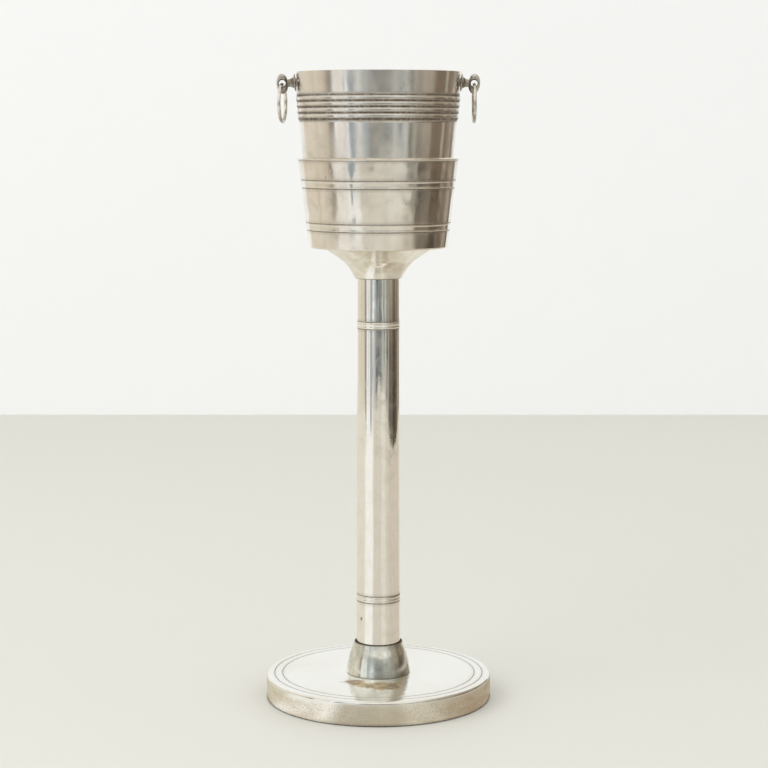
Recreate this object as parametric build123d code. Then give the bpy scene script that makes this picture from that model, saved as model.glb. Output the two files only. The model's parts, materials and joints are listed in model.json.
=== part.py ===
from build123d import *
import os
from math import atan, cos, degrees, radians, sin

# Champagne bucket on a floor stand: weighted round base, tubular column, flared cup
# support, holder cup, and a lift-out bucket with two swinging ring handles.
# Millimetres, +Z up, origin at the centre of the base where it meets the floor,
# handles along X.

# ---- driving dimensions ------------------------------------------------------------
SHEET = 1.5                  # spun and plated sheet of the stand
FIT = 0.05                   # play between turned pieces that slide together

BASE_RADIUS = 136.0
BASE_TOP = 30.0
BASE_SHOULDER = 7.0
BASE_EDGE = 1.0              # the skirt stops this far above the floor
BASE_LINE_RADII = (116.7, 126.4)
LINE_WIDTH = 1.0
LINE_DEPTH = 0.4

FELT_OUTER = 133.0
FELT_INNER = 34.0
FELT_TOP = 3.0
BALLAST_RADIUS = 131.0
BALLAST_TOP = 13.0
HUB_RADIUS = 28.0
HUB_FOOT = 34.0              # the hub widens to this where it meets the disc
RECESS_RADIUS = 20.0
RECESS_TOP = 19.0

COLLAR_TOP = 68.5
COLLAR_OUTLINE = (           # radius and height, foot to mouth
    (38.5, BASE_TOP), (37.8, 42.0), (33.4, 54.0), (29.8, 62.5), (28.6, COLLAR_TOP))
SPIGOT_FLANGE = 34.0
SPIGOT_TOP = 60.0
SPIGOT_CHAMFER = 2.0

TUBE_BOTTOM = BASE_TOP + 3.0
TUBE_TOP = 510.0
TUBE_RADIUS_LOW = 26.6
TUBE_RADIUS_HIGH = 25.3
TUBE_BEADS = ((119.0, 128.2), (450.2, 459.8))
BEAD_PROUD = 0.6

FUNNEL_NECK = 26.2
FUNNEL_LIP = (29.2, 512.6)   # radius and height where the rolled neck meets the flare
FUNNEL_FLARE = ((33.3, 519.8), (40.9, 529.4), (51.0, 536.7))
FUNNEL_RADIUS = 66.0
FUNNEL_RISE = 2.5            # inner face is the outer face moved up by this
PLUG_LENGTH = 23.5
PLATE_RADIUS = 32.5
PLATE_THICKNESS = 5.0

HOLDER_BOTTOM = 547.0
HOLDER_TOP = 652.0
HOLDER_RADIUS = 82.3         # at its bottom
HOLDER_SLOPE = 0.1184        # radius gained per mm of height
HOLDER_CORNER = 2.0
HOLDER_LIP = 1.8             # the rim is turned out by this
HOLDER_LIP_HEIGHT = 4.0
HOLDER_LIP_EDGE = 1.3        # thickness of the turned-out edge
HOLDER_LIP_CHAMFER = 0.5
HOLDER_BORE = 26.0
HOLDER_BANDS = ((567.4, 577.4), (617.2, 627.4))

BUCKET_TOP = 753.0
BUCKET_RADIUS = 98.8         # at its rim
BUCKET_SLOPE = 0.096
BUCKET_SHEET = 1.2
BUCKET_CORNER = 8.0
BUCKET_BOTTOM = HOLDER_BOTTOM + SHEET + FIT
BUCKET_DISH = 2.5            # the middle of the bottom stands this far up
FOOT_RING = 8.0              # width of the flat ring that it stands on
DISH_SLOPE = 6.0             # width of the slope from that ring to the middle
REED_LOW = 697.2
REED_PITCH = 6.9
REED_COUNT = 4
REED_PROUD = 1.2

LUG_HEIGHT = 740.6           # where the handle post meets the wall
ROSETTE_RADIUS = 10.2
ROSETTE_THICKNESS = 1.8
ROSETTE_EDGE = 0.8
POST_FLANGE = 6.5
POST_FLANGE_THICKNESS = 1.0
POST_WAIST = ((5.8, 3.4), (4.6, 6.0), (4.7, 10.4))   # radius and distance from the wall
EYE_CENTRE = 15.4            # from the wall to the middle of the eye
EYE_HALF_WIDTH = 6.9
EYE_HALF_HEIGHT = 11.85
EYE_HALF_THICKNESS = 4.8
EYE_HOLE = 4.0
EYE_HOLE_RISE = 0.4
EYE_CHAMFER = 0.9
EYE_ROUNDING = 3.4
STUD_RADIUS = 2.5
STUD_LENGTH = 7.6
STUD_POINT = 0.4

RING_WIRE = 2.1              # wire radius
RING_RADIUS = 21.6           # to the middle of the wire
RING_LIFT = 0.7              # its curve keeps the wire's middle this far off the hole's bottom
LEFT_RING_TWIST = -8.0       # the left ring hangs turned by this many degrees

ROD_RADIUS = 5.0
ROD_BOTTOM = 4.5
ROD_PAST_NUT = 3.0
NUT_HEIGHT = 8.0
NUT_FLATS = 16.0
WASHER_RADIUS = 15.0
WASHER_THICKNESS = 1.6
SPRING_RADIUS = 9.0
SPRING_THICKNESS = 2.2
SPRING_SPLIT = 1.4
SPRING_SPLIT_ANGLE = 25.0
NUT_TRIM = 0.55              # share of a nut's corners that is turned off
LUG_WASHER_RADIUS = 6.0
LUG_WASHER_THICKNESS = 1.0
LUG_NUT_HEIGHT = 4.0
LUG_NUT_FLATS = 8.0

# ---- worked out --------------------------------------------------------------------
WALL_TILT = -atan(BUCKET_SLOPE)   # the bucket wall's normal points this much below level
ROD_BORE = ROD_RADIUS + 6 * FIT
TOP_STACK_BASE = TUBE_TOP + PLUG_LENGTH / 2 + PLATE_THICKNESS


# ---- small tools -------------------------------------------------------------------
def at(radius, height):
    """A point of a lathe outline."""
    return (radius, 0, height)


def lathe(edges):
    """Turn a closed outline round the Z axis."""
    return revolve(make_face(edges), Axis.Z)


def turned(*points):
    """Turn a polygon of (radius, height) corners round the Z axis."""
    return lathe(Polyline(*[at(r, z) for r, z in points], close=True).edges())


def path(*points):
    """Open run of straight edges through (radius, height) points."""
    return list(Polyline(*[at(r, z) for r, z in points]).edges())


def tube_solid(inner, outer, bottom, top):
    return turned((inner, bottom), (outer, bottom), (outer, top), (inner, top))


def reed(radius_at, low, high, proud):
    """One half-round bead rolled into a wall."""
    middle = (low + high) / 2
    crest = at(radius_at(middle) + proud, middle)
    return [ThreePointArc(at(radius_at(low), low), crest, at(radius_at(high), high))]


def groove(radius_at, low, high, depth=LINE_DEPTH):
    """One fine V line cut round a wall."""
    middle = (low + high) / 2
    return path((radius_at(low), low), (radius_at(middle) - depth, middle), (radius_at(high), high))


def double_bead(radius_at, low, high):
    """Two touching beads with a fine line above and below."""
    inner_low, inner_high = low + LINE_WIDTH, high - LINE_WIDTH
    middle = (inner_low + inner_high) / 2
    edges = groove(radius_at, low, inner_low)
    edges += reed(radius_at, inner_low, middle, BEAD_PROUD)
    edges += reed(radius_at, middle, inner_high, BEAD_PROUD)
    return edges + groove(radius_at, inner_high, high)


def line_band(radius_at, low, high):
    """A barely raised flat band with rounded edges between two fine lines."""
    proud, edge = 0.3, 1.4
    inner_low, inner_high = low + LINE_WIDTH, high - LINE_WIDTH

    def raised(z):
        return at(radius_at(z) + proud, z)

    def corner(z):
        return at(radius_at(z) + proud * 0.8, z)

    edges = groove(radius_at, low, inner_low)
    edges.append(ThreePointArc(
        at(radius_at(inner_low), inner_low), corner(inner_low + edge * 0.4), raised(inner_low + edge)))
    edges.append(Line(raised(inner_low + edge), raised(inner_high - edge)))
    edges.append(ThreePointArc(
        raised(inner_high - edge), corner(inner_high - edge * 0.4), at(radius_at(inner_high), inner_high)))
    return edges + groove(radius_at, inner_high, high)


def wall(radius_at, bottom, top, features):
    """Outline of a wall from bottom to top, with features given as (low, high, edges)."""
    edges = []
    height = bottom
    for low, high, shape in features:
        edges.append(Line(at(radius_at(height), height), at(radius_at(low), low)))
        edges += shape
        height = high
    edges.append(Line(at(radius_at(height), height), at(radius_at(top), top)))
    return edges


# ---- base --------------------------------------------------------------------------
def base_shell():
    """Spun cover: flat top with two engraved rings, rounded shoulder, straight skirt."""
    inner_radius = BASE_RADIUS - SHEET
    inner_top = BASE_TOP - SHEET
    inner_shoulder = BASE_SHOULDER - SHEET
    top_line = [(ROD_BORE, BASE_TOP)]
    for radius in BASE_LINE_RADII:
        top_line += [
            (radius - LINE_WIDTH / 2, BASE_TOP),
            (radius, BASE_TOP - LINE_DEPTH),
            (radius + LINE_WIDTH / 2, BASE_TOP)]
    top_line.append((BASE_RADIUS - BASE_SHOULDER, BASE_TOP))
    edges = path(*top_line)
    edges.append(shoulder_arc(BASE_RADIUS, BASE_TOP, BASE_SHOULDER))
    edges += path(
        (BASE_RADIUS, BASE_TOP - BASE_SHOULDER), (BASE_RADIUS, BASE_EDGE), (inner_radius, BASE_EDGE),
        (inner_radius, inner_top - inner_shoulder))
    edges.append(shoulder_arc(inner_radius, inner_top, inner_shoulder))
    edges += path((inner_radius - inner_shoulder, inner_top), (ROD_BORE, inner_top), (ROD_BORE, BASE_TOP))
    return lathe(edges)


def shoulder_arc(radius, top, size):
    """Quarter round between a flat top and an upright side."""
    middle = size * (1 - cos(radians(45)))
    return ThreePointArc(
        at(radius - size, top), at(radius - middle, top - middle), at(radius, top - size))


def base_ballast():
    """Cast-iron weight: a disc with a raised hub, and a recess below for the nut."""
    hub_top = BASE_TOP - SHEET
    return turned(
        (RECESS_RADIUS, FELT_TOP), (BALLAST_RADIUS, FELT_TOP), (BALLAST_RADIUS, BALLAST_TOP),
        (HUB_FOOT, BALLAST_TOP), (HUB_RADIUS, hub_top), (ROD_BORE, hub_top),
        (ROD_BORE, RECESS_TOP), (RECESS_RADIUS, RECESS_TOP))


def base_felt():
    """Felt ring glued under the weight."""
    return tube_solid(FELT_INNER, FELT_OUTER, 0, FELT_TOP)


# ---- column ------------------------------------------------------------------------
def tube_radius(height):
    """The column narrows very slightly towards the top."""
    share = (height - TUBE_BOTTOM) / (TUBE_TOP - TUBE_BOTTOM)
    return TUBE_RADIUS_LOW + share * (TUBE_RADIUS_HIGH - TUBE_RADIUS_LOW)


def collar_bell():
    """Bell-shaped collar over the joint of column and base."""
    outer = Spline(*[at(r, z) for r, z in COLLAR_OUTLINE])
    inner = Spline(*[at(r - SHEET, z) for r, z in COLLAR_OUTLINE])
    rims = [Line(outer @ 0, inner @ 0), Line(outer @ 1, inner @ 1)]
    return lathe([outer, inner] + rims)


def collar_spigot():
    """Turned boss that carries the column's lower end."""
    snug = tube_radius(SPIGOT_TOP) - SHEET - FIT
    return turned(
        (ROD_BORE, BASE_TOP), (SPIGOT_FLANGE, BASE_TOP), (SPIGOT_FLANGE, TUBE_BOTTOM), (snug, TUBE_BOTTOM),
        (snug, SPIGOT_TOP - SPIGOT_CHAMFER), (snug - SPIGOT_CHAMFER, SPIGOT_TOP), (ROD_BORE, SPIGOT_TOP))


def column_tube():
    """Drawn tube with a pair of beads near each end."""
    features = [(low, high, double_bead(tube_radius, low, high)) for low, high in TUBE_BEADS]
    edges = wall(tube_radius, TUBE_BOTTOM, TUBE_TOP, features)
    edges += path(
        (tube_radius(TUBE_TOP), TUBE_TOP), (tube_radius(TUBE_TOP) - SHEET, TUBE_TOP),
        (tube_radius(TUBE_BOTTOM) - SHEET, TUBE_BOTTOM), (tube_radius(TUBE_BOTTOM), TUBE_BOTTOM))
    return lathe(edges)


def tube_top_plug():
    """Spacer that lines up the column's top with the cup support."""
    snug = tube_radius(TUBE_TOP) - SHEET - FIT
    bottom = TUBE_TOP - PLUG_LENGTH / 2
    return tube_solid(ROD_BORE, snug, bottom, bottom + PLUG_LENGTH)


def tie_rod():
    """Threaded rod that clamps base, column and cup support together."""
    top = TOP_STACK_BASE + WASHER_THICKNESS + SPRING_THICKNESS + NUT_HEIGHT + ROD_PAST_NUT
    point = 0.8
    return turned(
        (0, ROD_BOTTOM), (ROD_RADIUS - point, ROD_BOTTOM), (ROD_RADIUS, ROD_BOTTOM + point),
        (ROD_RADIUS, top - point), (ROD_RADIUS - point, top), (0, top))


# ---- cup support -------------------------------------------------------------------
def funnel_profile(rise):
    """Flared outline from the column's top to the holder's underside, moved up by rise."""
    lip_radius, lip_height = FUNNEL_LIP
    roll_radius = FUNNEL_NECK + 0.7 * (lip_radius - FUNNEL_NECK)
    roll_height = TUBE_TOP + 0.3 * (lip_height - TUBE_TOP)
    roll = ThreePointArc(
        at(FUNNEL_NECK, TUBE_TOP + rise), at(roll_radius, roll_height + rise),
        at(lip_radius, lip_height + rise))
    flare = (FUNNEL_LIP,) + FUNNEL_FLARE + ((FUNNEL_RADIUS, HOLDER_BOTTOM),)
    return [roll, Spline(*[at(radius, height + rise) for radius, height in flare])]


def cup_funnel():
    """Spun flare between column and holder cup."""
    neck_bore = tube_radius(TUBE_TOP) - SHEET
    outer = funnel_profile(0)
    inner = funnel_profile(FUNNEL_RISE)
    body = lathe(outer + path(
        (FUNNEL_RADIUS, HOLDER_BOTTOM), (0, HOLDER_BOTTOM), (0, TUBE_TOP), (FUNNEL_NECK, TUBE_TOP)))
    high = HOLDER_BOTTOM + FUNNEL_RISE
    low = TUBE_TOP + FUNNEL_RISE
    hollow = lathe(inner + path((FUNNEL_RADIUS, high), (0, high), (0, low), (FUNNEL_NECK, low)))
    neck = tube_solid(0, neck_bore, TUBE_TOP - 1, HOLDER_BOTTOM)
    return body - hollow - neck


def funnel_anchor_plate():
    """Thick disc soldered in the flare, for the tie rod's nut to pull on."""
    bottom = TOP_STACK_BASE - PLATE_THICKNESS
    return tube_solid(ROD_BORE, PLATE_RADIUS, bottom, TOP_STACK_BASE)


# ---- rod hardware ------------------------------------------------------------------
def spring_washer():
    """Split lock washer."""
    ring = tube_solid(ROD_BORE, SPRING_RADIUS, 0, SPRING_THICKNESS)
    split = Box(SPRING_RADIUS, SPRING_SPLIT, 4 * SPRING_THICKNESS)
    return ring - Pos(SPRING_RADIUS, 0, SPRING_THICKNESS / 2) * Rot(SPRING_SPLIT_ANGLE, 0, 0) * split


def hex_nut(flats, height, bore):
    """Hexagon nut with both faces' corners turned off."""
    prism = extrude(RegularPolygon(flats / 2, 6, major_radius=False), height)
    corner = flats / 2 / cos(radians(30))
    trim = (corner - flats / 2) * NUT_TRIM
    cone = turned(
        (0, 0), (corner - 2 * trim, 0), (corner, trim), (corner, height - trim),
        (corner - 2 * trim, height), (0, height))
    return (prism & cone) - Cylinder(bore, 3 * height)


def rod_washer():
    return tube_solid(ROD_BORE, WASHER_RADIUS, 0, WASHER_THICKNESS)


def rod_nut():
    return hex_nut(NUT_FLATS, NUT_HEIGHT, ROD_RADIUS + FIT)


def top_stack():
    """Washer, lock washer and nut on the anchor plate."""
    spring_base = TOP_STACK_BASE + WASHER_THICKNESS
    return {
        "top_washer": Pos(0, 0, TOP_STACK_BASE) * rod_washer(),
        "top_spring_washer": Pos(0, 0, spring_base) * spring_washer(),
        "top_nut": Pos(0, 0, spring_base + SPRING_THICKNESS) * rod_nut()}


def bottom_stack():
    """Washer, lock washer and nut in the recess under the weight."""
    washer_base = RECESS_TOP - WASHER_THICKNESS
    spring_base = washer_base - SPRING_THICKNESS
    return {
        "bottom_washer": Pos(0, 0, washer_base) * rod_washer(),
        "bottom_spring_washer": Pos(0, 0, spring_base) * spring_washer(),
        "bottom_nut": Pos(0, 0, spring_base - NUT_HEIGHT) * rod_nut()}


# ---- holder cup --------------------------------------------------------------------
def holder_radius(height):
    return HOLDER_RADIUS + HOLDER_SLOPE * (height - HOLDER_BOTTOM)


def holder_cup():
    """Tapered cup with two banded lines and a turned-out lip; its floor has an access hole."""
    floor = HOLDER_BOTTOM + SHEET
    foot = HOLDER_BOTTOM + HOLDER_CORNER
    flat = holder_radius(foot) - HOLDER_CORNER
    features = [(low, high, line_band(holder_radius, low, high)) for low, high in HOLDER_BANDS]
    edges = path((HOLDER_BORE, HOLDER_BOTTOM), (flat, HOLDER_BOTTOM))
    edges.append(ThreePointArc(
        at(flat, HOLDER_BOTTOM),
        at(flat + 0.7 * HOLDER_CORNER, HOLDER_BOTTOM + 0.3 * HOLDER_CORNER),
        at(holder_radius(foot), foot)))
    edges += wall(holder_radius, foot, HOLDER_TOP - HOLDER_LIP_HEIGHT, features)
    edges += holder_lip()
    edges += path(
        (holder_radius(HOLDER_TOP - HOLDER_LIP_HEIGHT) - SHEET, HOLDER_TOP - HOLDER_LIP_HEIGHT),
        (holder_radius(floor) - SHEET, floor), (HOLDER_BORE, floor), (HOLDER_BORE, HOLDER_BOTTOM))
    return lathe(edges)


def holder_lip():
    """The turned-out rim, from the outside of the wall over the top to its inside."""
    low, middle = HOLDER_TOP - HOLDER_LIP_HEIGHT, HOLDER_TOP - HOLDER_LIP_HEIGHT / 2
    edge = holder_radius(HOLDER_TOP) + HOLDER_LIP
    back = edge - HOLDER_LIP_EDGE
    shoulder = HOLDER_TOP - HOLDER_LIP_CHAMFER
    outer = ThreePointArc(
        at(holder_radius(low), low), at(holder_radius(middle) + 0.35 * HOLDER_LIP, middle),
        at(edge, shoulder))
    inner = ThreePointArc(
        at(back, HOLDER_TOP), at(holder_radius(middle) + 0.3 * HOLDER_LIP - SHEET, middle),
        at(holder_radius(low) - SHEET, low))
    flat = path((edge, shoulder), (edge - HOLDER_LIP_CHAMFER, HOLDER_TOP), (back, HOLDER_TOP))
    return [outer] + flat + [inner]


# ---- bucket ------------------------------------------------------------------------
def bucket_radius(height):
    return BUCKET_RADIUS - BUCKET_SLOPE * (BUCKET_TOP - height)


def bucket_bottom(inset):
    """From the axis outwards: dished middle, flat foot ring and rounded corner."""
    bottom = BUCKET_BOTTOM + inset
    corner = BUCKET_CORNER - inset
    foot_radius = bucket_radius(bottom + corner) - inset
    flat = foot_radius - corner
    middle = corner * (1 - cos(radians(45)))
    edges = path(
        (0, bottom + BUCKET_DISH), (flat - FOOT_RING - DISH_SLOPE, bottom + BUCKET_DISH),
        (flat - FOOT_RING, bottom), (flat, bottom))
    edges.append(ThreePointArc(
        at(flat, bottom), at(foot_radius - middle, bottom + middle), at(foot_radius, bottom + corner)))
    return edges


def bucket_shell():
    """Tapered bucket with a belt of four reeds below the handles and a rounded rim."""
    belt = []
    for index in range(REED_COUNT):
        low = REED_LOW + index * REED_PITCH
        belt += reed(bucket_radius, low, low + REED_PITCH, REED_PROUD)
    features = [(REED_LOW, REED_LOW + REED_COUNT * REED_PITCH, belt)]
    foot = BUCKET_BOTTOM + BUCKET_CORNER
    rim = BUCKET_TOP - BUCKET_SHEET / 2
    outside = bucket_bottom(0) + wall(bucket_radius, foot, rim, features)
    outside += [ThreePointArc(
        at(bucket_radius(rim), rim), at(BUCKET_RADIUS - BUCKET_SHEET / 2, BUCKET_TOP),
        at(bucket_radius(rim) - BUCKET_SHEET, rim))]
    outside += path((bucket_radius(rim) - BUCKET_SHEET, rim), (0, rim), (0, BUCKET_BOTTOM + BUCKET_DISH))
    high = BUCKET_TOP + 5
    inside = bucket_bottom(BUCKET_SHEET)
    inside += path(
        (bucket_radius(foot) - BUCKET_SHEET, foot), (bucket_radius(high) - BUCKET_SHEET, high),
        (0, high), (0, BUCKET_BOTTOM + BUCKET_SHEET + BUCKET_DISH))
    shell = lathe(outside) - lathe(inside)
    for side in (-1, 1):
        shell -= lug_frame(side) * Rot(0, 90, 0) * Cylinder(STUD_RADIUS + FIT, 2 * STUD_LENGTH)
    return shell


# ---- handle posts ------------------------------------------------------------------
def lug_frame(side):
    """Frame on the bucket wall: local X out of the wall, local Z up along it."""
    turn = 0 if side > 0 else 180
    seat = bucket_radius(LUG_HEIGHT) + FIT
    return Rot(0, 0, turn) * Pos(seat, 0, LUG_HEIGHT) * Rot(0, -degrees(WALL_TILT), 0)


def along_normal(*points):
    """Turn (radius, distance from wall) corners round the wall's normal."""
    return Rot(0, 90, 0) * turned(*points)


def rosette(side):
    """Thin round plate between the post and the wall."""
    thick, wide = ROSETTE_THICKNESS, ROSETTE_RADIUS
    hole = STUD_RADIUS + FIT
    plate = along_normal(
        (hole, 0), (wide, 0), (wide, thick / 2), (wide - ROSETTE_EDGE, thick), (hole, thick))
    return lug_frame(side) * plate


def eye_post(side):
    """Post with a threaded stud, a flange, a waisted neck and a pierced egg-shaped eye."""
    thick = ROSETTE_THICKNESS
    stud = along_normal(
        (0, -STUD_LENGTH), (STUD_RADIUS - STUD_POINT, -STUD_LENGTH),
        (STUD_RADIUS, -STUD_LENGTH + STUD_POINT), (STUD_RADIUS, thick), (0, thick))
    flange_edge = thick + POST_FLANGE_THICKNESS
    neck_radius, neck_end = POST_WAIST[-1]
    waist = Spline(*[at(radius, out) for radius, out in POST_WAIST])
    neck_edges = [Line(at(POST_FLANGE, flange_edge), waist @ 0), waist]
    neck_edges += path(
        (neck_radius, neck_end), (0, neck_end), (0, thick), (POST_FLANGE, thick),
        (POST_FLANGE, flange_edge))
    neck = Rot(0, 90, 0) * lathe(neck_edges)
    post = stud + neck + Pos(EYE_CENTRE, 0, 0) * eye_egg()
    return lug_frame(side) * post


def eye_egg():
    """Rounded oval block, pierced from front to back by the ring's hole."""
    oval = extrude(Plane.XZ * Ellipse(EYE_HALF_WIDTH, EYE_HALF_HEIGHT), EYE_HALF_THICKNESS, both=True)
    egg = fillet(oval.edges(), EYE_ROUNDING)
    face, outside = EYE_HALF_THICKNESS - EYE_CHAMFER, EYE_HALF_THICKNESS + 1
    flare = EYE_HOLE + outside - face
    hole = Rot(90, 0, 0) * turned(
        (0, -outside), (flare, -outside), (EYE_HOLE, -face), (EYE_HOLE, face),
        (flare, outside), (0, outside))
    return egg - Pos(0, 0, EYE_HOLE_RISE) * hole


def lug_washer_seat():
    """Where the flat washer touches the round wall's inside, measured from the outside."""
    sag = LUG_WASHER_RADIUS ** 2 / (2 * (bucket_radius(LUG_HEIGHT) - BUCKET_SHEET))
    return -(BUCKET_SHEET + sag + 2 * FIT)


def lug_washer(side):
    """Flat washer on the inside of the bucket wall."""
    seat, hole = lug_washer_seat(), STUD_RADIUS + FIT
    back = seat - LUG_WASHER_THICKNESS
    return lug_frame(side) * along_normal(
        (hole, back), (LUG_WASHER_RADIUS, back), (LUG_WASHER_RADIUS, seat), (hole, seat))


def lug_nut(side):
    """Thin hexagon nut on the stud, inside the bucket."""
    nut = Rot(0, -90, 0) * hex_nut(LUG_NUT_FLATS, LUG_NUT_HEIGHT, STUD_RADIUS + FIT)
    return lug_frame(side) * Pos(lug_washer_seat() - LUG_WASHER_THICKNESS, 0, 0) * nut


# ---- ring handles ------------------------------------------------------------------
def eye_hole_centre(side):
    """Middle of the eye's hole, and so of the ring's seat."""
    out = bucket_radius(LUG_HEIGHT) + FIT
    out += EYE_CENTRE * cos(WALL_TILT) - EYE_HOLE_RISE * sin(WALL_TILT)
    height = LUG_HEIGHT + EYE_CENTRE * sin(WALL_TILT) + EYE_HOLE_RISE * cos(WALL_TILT)
    return side * out, height


def ring_pivot(side):
    """Middle of the wire where the ring hangs in the eye's hole."""
    out, height = eye_hole_centre(side)
    return out, height - EYE_HOLE + RING_WIRE + RING_LIFT


def ring_handle(side):
    """Plain wire ring hanging in the eye, seen edge-on from the front."""
    out, height = ring_pivot(side)
    twist = LEFT_RING_TWIST if side < 0 else 0
    ring = Rot(0, 90, 0) * Torus(RING_RADIUS, RING_WIRE)
    return Pos(out, 0, height - RING_RADIUS) * Rot(0, 0, twist) * ring


# ---- the assembly ------------------------------------------------------------------
def all_nodes():
    nodes = {
        "base_shell": base_shell(),
        "base_ballast": base_ballast(),
        "base_felt": base_felt(),
        "collar_bell": collar_bell(),
        "collar_spigot": collar_spigot(),
        "column_tube": column_tube(),
        "tube_top_plug": tube_top_plug(),
        "tie_rod": tie_rod(),
        "cup_funnel": cup_funnel(),
        "funnel_anchor_plate": funnel_anchor_plate(),
        "holder_cup": holder_cup(),
        "bucket_shell": bucket_shell()}
    nodes.update(top_stack())
    nodes.update(bottom_stack())
    for name, side in (("left", -1), ("right", 1)):
        nodes[name + "_rosette"] = rosette(side)
        nodes[name + "_eye_post"] = eye_post(side)
        nodes[name + "_lug_washer"] = lug_washer(side)
        nodes[name + "_lug_nut"] = lug_nut(side)
        nodes[name + "_ring"] = ring_handle(side)
    return nodes


os.makedirs("parts", exist_ok=True)
for node, shape in all_nodes().items():
    export_step(shape, "parts/" + node + ".step")
for side in (-1, 1):
    print("ring pivot", [round(value, 3) for value in ring_pivot(side)])
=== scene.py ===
import bpy
import json
import math
from mathutils import Matrix, Vector, noise


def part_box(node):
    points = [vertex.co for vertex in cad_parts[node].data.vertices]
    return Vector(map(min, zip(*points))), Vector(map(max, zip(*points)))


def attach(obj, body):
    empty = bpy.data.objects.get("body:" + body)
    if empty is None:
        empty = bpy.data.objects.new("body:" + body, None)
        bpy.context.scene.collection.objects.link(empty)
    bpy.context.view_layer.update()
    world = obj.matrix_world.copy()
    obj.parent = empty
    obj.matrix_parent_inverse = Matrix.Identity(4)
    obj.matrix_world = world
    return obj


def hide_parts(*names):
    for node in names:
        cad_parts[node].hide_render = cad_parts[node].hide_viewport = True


# Looks of a champagne bucket on its floor stand: turned silver-plate pieces with fine lines,
# soft waviness, old tarnish and painted shade, on a pale floor in a soft room. Metres, with MM for millimetres.

MM = 0.001
SEGMENTS = 320                    # round a large turned piece
SMALL_SEGMENTS = 96               # round a handle part
STEP = 4 * MM                     # longest stretch of an outline between two points
CREASE = 0.15 * MM                # keeps the shading of a flat clear of the round beside it

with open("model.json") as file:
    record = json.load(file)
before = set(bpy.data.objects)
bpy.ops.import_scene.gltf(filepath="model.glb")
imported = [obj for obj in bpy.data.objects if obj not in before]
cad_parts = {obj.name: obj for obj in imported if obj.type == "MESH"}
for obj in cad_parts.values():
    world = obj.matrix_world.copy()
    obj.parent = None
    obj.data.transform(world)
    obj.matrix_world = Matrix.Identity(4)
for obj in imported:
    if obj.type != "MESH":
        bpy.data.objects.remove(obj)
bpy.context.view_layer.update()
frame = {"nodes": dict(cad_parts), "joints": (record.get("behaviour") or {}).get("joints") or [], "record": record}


# ---- outlines ----------------------------------------------------------------------
def softened(corners, closed=True):
    """Points of an outline of (radius, height, cut) corners; cut is how far a corner is rounded off."""
    points = []
    count = len(corners)
    for index, (radius, height, cut) in enumerate(corners):
        here = Vector((radius, height))
        before = Vector(corners[index - 1][:2]) if closed or index else None
        after = Vector(corners[(index + 1) % count][:2]) if closed or index < count - 1 else None
        if cut == 0 or before is None or after is None:
            points.append(here)
            continue
        back, forth = before - here, after - here
        near = min(cut, 0.45 * back.length, 0.45 * forth.length)
        start, end = here + back.normalized() * near, here + forth.normalized() * near
        if back.length > 2 * near + 2 * CREASE:
            points.append(start + back.normalized() * CREASE)
        for step in range(7):
            t = step / 6
            points.append(start * (1 - t) ** 2 + here * 2 * t * (1 - t) + end * t ** 2)
        if forth.length > 2 * near + 2 * CREASE:
            points.append(end + forth.normalized() * CREASE)
    return divided(points, closed)


def divided(points, closed=True):
    """The same outline with its long stretches cut into steps."""
    result = []
    count = len(points)
    for index, here in enumerate(points):
        result.append(here)
        if not closed and index == count - 1:
            break
        span = points[(index + 1) % count] - here
        pieces = math.ceil(span.length / STEP)
        if abs(here.x) < 1e-9 and abs(points[(index + 1) % count].x) < 1e-9:
            continue
        result += [here + span * (piece / pieces) for piece in range(1, pieces)]
    return result


def arc_points(radius_at, low, high, proud, fullness=0.75, count=12):
    """Corners of one half-round bead standing out of a wall."""
    points = []
    for index in range(count + 1):
        across = 2 * index / count - 1
        height = low + (high - low) * index / count
        points.append((radius_at(height) + proud * (1 - across * across) ** fullness, height, 0))
    return points


def smooth_curve(knots, count=10):
    """Points of a Catmull-Rom curve through (radius, height) knots."""
    points = [Vector(knot) for knot in knots]
    ends = [2 * points[0] - points[1]] + points + [2 * points[-1] - points[-2]]
    result = []
    for index in range(1, len(ends) - 2):
        a, b, c, d = ends[index - 1:index + 3]
        for step in range(count):
            t = step / count
            result.append(0.5 * (
                2 * b + (c - a) * t + (2 * a - 5 * b + 4 * c - d) * t ** 2
                + (3 * b - a - 3 * c + d) * t ** 3))
    return result + [points[-1]]


# ---- meshes ------------------------------------------------------------------------
def nothing(point):
    """No tarnish, no shade, no stain and no push, wherever the point is."""
    return 0.0


def hump(distance, reach):
    """1 where the distance is 0, falling away smoothly over the reach."""
    return math.exp(-(distance / reach) ** 2)


def smooth(value, low, high):
    """0 below low, 1 above high, and a smooth rise between."""
    share = min(1, max(0, (value - low) / (high - low)))
    return share * share * (3 - 2 * share)


def make_object(name, vertices, faces):
    mesh = bpy.data.meshes.new(name)
    mesh.from_pydata(vertices, [], faces)
    mesh.polygons.foreach_set("use_smooth", [True] * len(mesh.polygons))
    mesh.validate()
    mesh.update()
    piece = bpy.data.objects.new(name, mesh)
    bpy.context.scene.collection.objects.link(piece)
    return piece


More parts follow.
